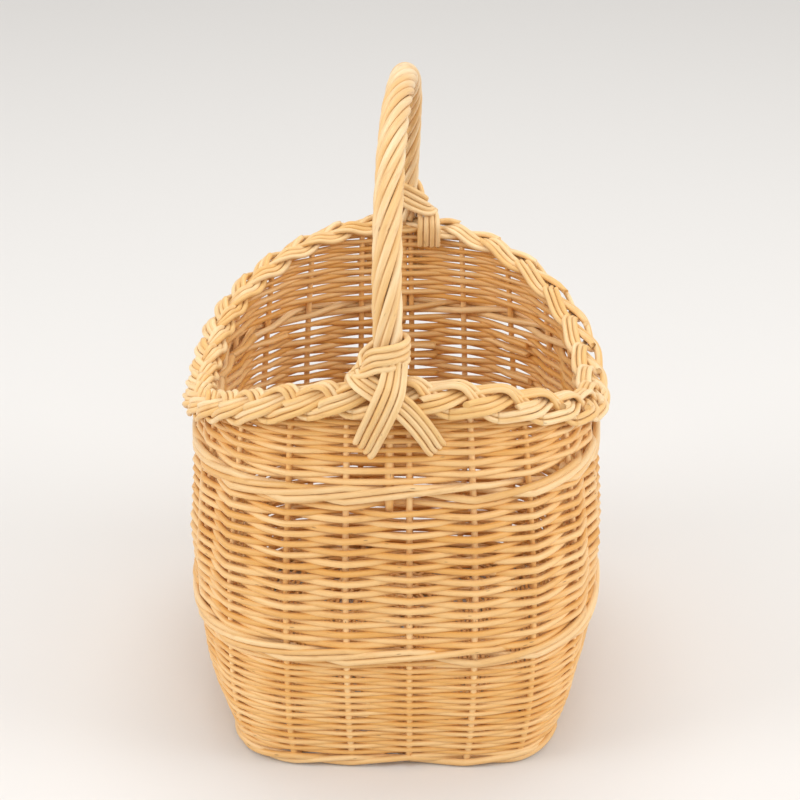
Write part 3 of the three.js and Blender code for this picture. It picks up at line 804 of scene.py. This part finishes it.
def make_long_sticks():
    y = np.linspace(-LONG_STICK_HALF, LONG_STICK_HALF, 40)
    size = LONG_STICK_RADIUS * np.linspace(1.08, 0.92, len(y))
    for i in range(LONG_STICKS):
        rods = Rods(f"base_long_stick_rod_{i + 1}", 12)
        x = (i - (LONG_STICKS - 1) / 2) * LONG_STICK_SPACING + 0.8 * wobble(y, 80, i)
        path = np.stack([x, y, 0 * y + STICK_HEIGHT], -1)
        rods.add(path, size, tone=0.3 + 0.3 * i, cut=STICK_CUT)
        rods.build("stake_willow", f"base_long_stick_{i + 1}")


def make_short_sticks():
    """They are slit in the middle, where the long sticks go through them."""
    x = np.linspace(-SHORT_STICK_HALF, SHORT_STICK_HALF, 60)
    slit = np.clip((SLIT_HALF - np.abs(x)) / 6, 0, 1)
    size = SHORT_STICK_RADIUS - 0.7 * slit
    forward = np.tile([0.0, 1.0, 0.0], (len(x), 1))
    for i in range(SHORT_STICKS):
        rods = Rods(f"base_short_stick_rod_{i + 1}", 12)
        y = (i - (SHORT_STICKS - 1) / 2) * SHORT_STICK_SPACING + 0.8 * wobble(x, 60, 9 + i)
        for way in (-1, 1):
            z = STICK_HEIGHT + way * (1.6 + 2.1 * slit)
            rods.add(np.stack([x, y, z], -1), size, tone=0.5, flat=0.62, broad=forward)
        rods.build("stake_willow", f"base_short_stick_{i + 1}")


# Materials.


class Socket:
    """A node's output, with arithmetic on it."""

    def __init__(self, nodes, socket):
        self.nodes = nodes
        self.socket = socket

    def math(self, operation, first, second):
        return self.nodes.add("ShaderNodeMath", {"operation": operation}, {0: first, 1: second})

    def __add__(self, other):
        return self.math("ADD", self, other)

    def __sub__(self, other):
        return self.math("SUBTRACT", self, other)

    def __rsub__(self, other):
        return self.math("SUBTRACT", other, self)

    def __mul__(self, other):
        return self.math("MULTIPLY", self, other)

    __radd__ = __add__
    __rmul__ = __mul__

    def scaled(self, x, y, z):
        settings = {"operation": "MULTIPLY"}
        return self.nodes.add("ShaderNodeVectorMath", settings, {0: self, 1: (x, y, z)})

    def ramp(self, low, high):
        """0 below low, 1 above high, and a smooth rise between."""
        values = {"Value": self, "From Min": low, "From Max": high}
        return self.nodes.add("ShaderNodeMapRange", {"interpolation_type": "SMOOTHSTEP"}, values)


class Nodes:
    """The nodes of a material or of the world."""

    def __init__(self, owner):
        owner.use_nodes = True
        self.tree = owner.node_tree
        self.tree.nodes.clear()

    def add(self, kind, settings, values, output=0):
        node = self.tree.nodes.new(kind)
        for name, setting in settings.items():
            setattr(node, name, setting)
        for key, value in values.items():
            if isinstance(value, Socket):
                self.tree.links.new(value.socket, node.inputs[key])
            else:
                node.inputs[key].default_value = value
        return None if output is None else Socket(self, node.outputs[output])

    def noise(self, vector, scale=1.0, detail=2.0, roughness=0.5):
        values = {"Vector": vector, "Scale": scale, "Detail": detail, "Roughness": roughness}
        return self.add("ShaderNodeTexNoise", {}, values)

    def mix(self, amount, first, second):
        # Sockets 6 and 7 are the two colours, and output 2 is their mixture.
        settings = {"data_type": "RGBA", "blend_type": "MIX"}
        return self.add("ShaderNodeMix", settings, {0: amount, 6: first, 7: second}, 2)


def willow(name, pale, golden, shade):
    """Peeled willow: fine long grain, a tone of its own on each rod, and a few brown specks."""
    material = bpy.data.materials.new(name)
    nodes = Nodes(material)
    grain = nodes.add("ShaderNodeAttribute", {"attribute_name": "grain"}, {}, "Vector")
    tone = nodes.add("ShaderNodeAttribute", {"attribute_name": "tone"}, {}, "Fac")
    drift = nodes.noise(grain.scaled(0.018, 0.12, 0.12), detail=1.0)
    mottle = nodes.noise(grain.scaled(0.09, 0.35, 0.35), detail=3.0)
    fibre = nodes.noise(grain.scaled(0.05, 1.6, 1.6), detail=4.0, roughness=0.65)
    hair = nodes.noise(grain.scaled(0.12, 4.5, 4.5), detail=2.0)
    paleness = (tone * 0.55 + drift * 1.1 + mottle * 0.35 - 0.62).ramp(0.0, 0.8)
    colour = nodes.mix(paleness, (*golden, 1), (*pale, 1))
    streak = (fibre * 0.75 + hair * 0.25).ramp(0.5, 0.78)
    colour = nodes.mix(streak * 0.5, colour, (*shade, 1))
    stain = nodes.noise(grain.scaled(0.03, 0.1, 0.1), scale=1.7, detail=2.0).ramp(0.62, 0.8)
    colour = nodes.mix(stain * 0.45, colour, (*shade, 1))
    # Specks where a bud sat.
    cell = {"Vector": grain.scaled(0.035, 0.16, 0.16), "Scale": 1.0, "Randomness": 1.0}
    distance = nodes.add("ShaderNodeTexVoronoi", {}, cell, "Distance")
    speck = 1 - distance.ramp(0.035, 0.085)
    colour = nodes.mix(speck * 0.75, colour, (*BUD_BROWN, 1))
    rough = DULLNESS + 0.16 * mottle - 0.1 * paleness + 0.2 * speck
    height = fibre * 0.7 + hair * 0.3 - speck * 0.8
    bump = nodes.add("ShaderNodeBump", {}, {"Strength": 0.35, "Distance": 0.0004, "Height": height})
    values = {"Base Color": colour, "Roughness": rough, "Normal": bump}
    values.update({"IOR": 1.48, "Coat Weight": 0.4, "Coat Roughness": 0.38, "Sheen Weight": 0.06})
    surface = nodes.add("ShaderNodeBsdfPrincipled", {}, values)
    nodes.add("ShaderNodeOutputMaterial", {}, {"Surface": surface}, None)
    return material


finishes = {slot: willow(f"{slot}_finish", *colours) for slot, colours in FINISHES.items()}


# Camera, floor, backdrop and light.


def make_camera():
    away = np.array(
        [
            math.cos(ELEVATION) * math.sin(YAW),
            -math.cos(ELEVATION) * math.cos(YAW),
            math.sin(ELEVATION),
        ]
    )
    camera = bpy.data.objects.new("camera", bpy.data.cameras.new("camera"))
    camera.data.lens = LENS
    camera.data.sensor_width = SENSOR
    camera.location = TARGET + CAMERA_DISTANCE * away
    camera.rotation_euler = (math.pi / 2 - ELEVATION, 0.0, YAW)
    bpy.context.scene.collection.objects.link(camera)
    bpy.context.scene.camera = camera


def aim(lamp, target):
    way = np.array(target) - np.array(lamp.location)
    flat = math.hypot(way[0], way[1])
    lamp.rotation_euler = (math.atan2(flat, -way[2]), 0.0, math.atan2(way[1], way[0]) - math.pi / 2)


def soft_light(name, place, size, power):
    data = bpy.data.lights.new(name, "AREA")
    data.shape = "DISK"
    data.size = size
    data.energy = power
    lamp = bpy.data.objects.new(name, data)
    lamp.location = place
    aim(lamp, LAMP_TARGET)
    bpy.context.scene.collection.objects.link(lamp)


def make_floor():
    corners = [(FLOOR_HALF * x, FLOOR_HALF * y, 0.0) for x, y in ((-1, -1), (1, -1), (1, 1), (-1, 1))]
    mesh = bpy.data.meshes.new("floor")
    mesh.from_pydata(corners, [], [(0, 1, 2, 3)])
    floor = bpy.data.objects.new("floor", mesh)
    material = bpy.data.materials.new("floor_paper")
    nodes = Nodes(material)
    values = {"Base Color": (*FLOOR_COLOUR, 1), "Roughness": 0.9}
    surface = nodes.add("ShaderNodeBsdfPrincipled", {}, values)
    nodes.add("ShaderNodeOutputMaterial", {}, {"Surface": surface}, None)
    mesh.materials.append(material)
    bpy.context.scene.collection.objects.link(floor)


def make_world():
    """Warm light from all round, and a pale backdrop that only the camera sees."""
    world = bpy.data.worlds.new("studio")
    nodes = Nodes(world)
    seen = nodes.add("ShaderNodeLightPath", {}, {}, "Is Camera Ray")
    daylight = {"Color": (*DAYLIGHT, 1), "Strength": DAYLIGHT_STRENGTH}
    light = nodes.add("ShaderNodeBackground", {}, daylight)
    paper = nodes.add("ShaderNodeBackground", {}, {"Color": (*BACKGROUND, 1), "Strength": 1.0})
    both = nodes.add("ShaderNodeMixShader", {}, {0: seen, 1: light, 2: paper})
    nodes.add("ShaderNodeOutputWorld", {}, {"Surface": both}, None)
    bpy.context.scene.world = world


make_base()
make_long_sticks()
make_short_sticks()
make_stakes()
make_wale("foot_wale", FOOT_WALE, 3)
make_siding("lower_siding", LOWER_SIDING, 21)
make_wale("lower_wale", LOWER_WALE, 5)
make_siding("middle_siding", MIDDLE_SIDING, 22)
make_wale("upper_wale", UPPER_WALE, 9)
make_packing("packing_near", 0.0, 5)
make_packing("packing_far", 0.5, 11)
make_border()
make_bow()
make_rope()
make_lashings("near", 1)
make_lashings("far", -1)

make_camera()
make_floor()
make_world()
for name, (place, size, power) in LAMPS.items():
    soft_light(name, place, size, power)
bpy.context.scene.view_settings.view_transform = "Standard"
